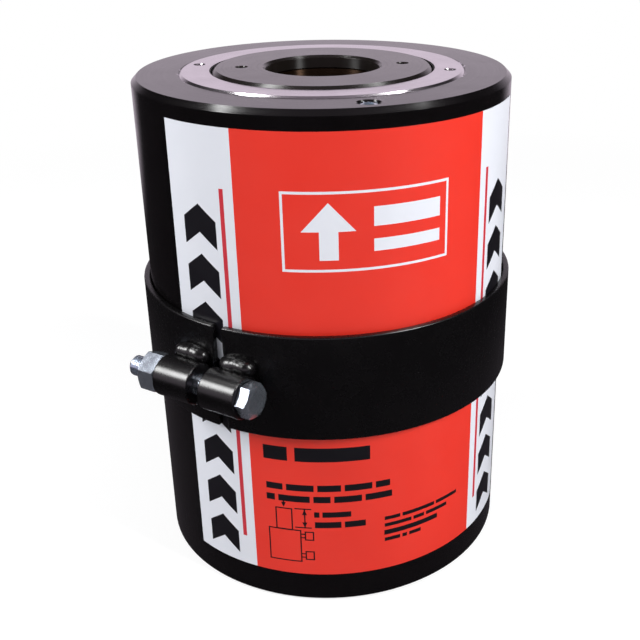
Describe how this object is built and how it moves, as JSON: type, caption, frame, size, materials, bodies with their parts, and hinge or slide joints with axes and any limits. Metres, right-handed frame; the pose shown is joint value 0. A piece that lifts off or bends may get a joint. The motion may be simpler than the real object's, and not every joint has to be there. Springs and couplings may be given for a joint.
{
  "type": "hollow plunger hydraulic cylinder",
  "caption": "Double-acting hollow plunger hydraulic cylinder with a hole through its centre, a screwed gland nut, port couplers at the back and a bolted clamp band.",
  "frame": {"origin": "centre of the through hole in the plane of the base", "axes": "+Z along the cylinder's axis, the way the plunger comes out; -Y towards the middle of the label; +Y towards the port couplers"},
  "size_m": [0.1965, 0.2153, 0.2429],
  "materials": {
    "black_anodised": "black anodised, satin",
    "bronze_hard_coat": "hard anodised, bronze tone",
    "grey_hard_coat": "hard anodised, turned face",
    "bare_alloy": "turned, bare",
    "black_rubber": "moulded",
    "seal_plastic": "polyurethane",
    "bearing_plastic": "filled phenolic",
    "zinc_steel": "zinc plated",
    "spring_steel": "drawn wire",
    "valve_brass": "turned",
    "label_vinyl": "printed vinyl",
    "gloss_black_paint": "gloss black paint on steel"
  },
  "bodies": {
    "cylinder": {"cylinder_body": "black_anodised", "centre_tube": "bronze_hard_coat", "centre_tube_o_ring": "black_rubber", "gland_nut": "bare_alloy", "gland_o_ring": "black_rubber", "gland_backup_ring": "seal_plastic", "gland_bearing_ring": "bearing_plastic", "rod_seal": "seal_plastic", "rod_wiper": "black_rubber", "passage_plug": "zinc_steel", "advance_coupler": "zinc_steel", "advance_poppet_spring": "spring_steel", "advance_poppet_retainer": "zinc_steel", "retract_coupler": "zinc_steel", "retract_poppet_spring": "spring_steel", "retract_poppet_retainer": "zinc_steel", "body_label": "label_vinyl", "clamp_strap": "gloss_black_paint", "clamp_boss_left": "gloss_black_paint", "clamp_boss_right": "gloss_black_paint", "clamp_welds": "gloss_black_paint", "clamp_bolt": "zinc_steel", "clamp_nut": "zinc_steel"},
    "plunger": {"plunger": "grey_hard_coat", "piston": "bare_alloy", "piston_o_ring": "black_rubber", "piston_seal": "seal_plastic", "piston_seal_energizer": "black_rubber", "piston_wear_ring": "bearing_plastic", "tube_seal": "seal_plastic", "tube_wear_ring": "bearing_plastic"},
    "advance_poppet": {"advance_poppet": "valve_brass"},
    "retract_poppet": {"retract_poppet": "valve_brass"}
  },
  "joints": [
    {"name": "plunger_slide", "type": "slide", "parent": "cylinder", "child": "plunger", "axis": [0, 0, 1], "range_m": [0, 0.1016]},
    {"name": "advance_poppet_slide", "type": "slide", "parent": "cylinder", "child": "advance_poppet", "axis": [0, -1, 0], "range_m": [0, 0.004], "stiffness_N_per_m": 900, "springref_m": -0.005, "deforming": ["advance_poppet_spring"]},
    {"name": "retract_poppet_slide", "type": "slide", "parent": "cylinder", "child": "retract_poppet", "axis": [0, -1, 0], "range_m": [0, 0.004], "stiffness_N_per_m": 900, "springref_m": -0.005, "deforming": ["retract_poppet_spring"]}
  ]
}
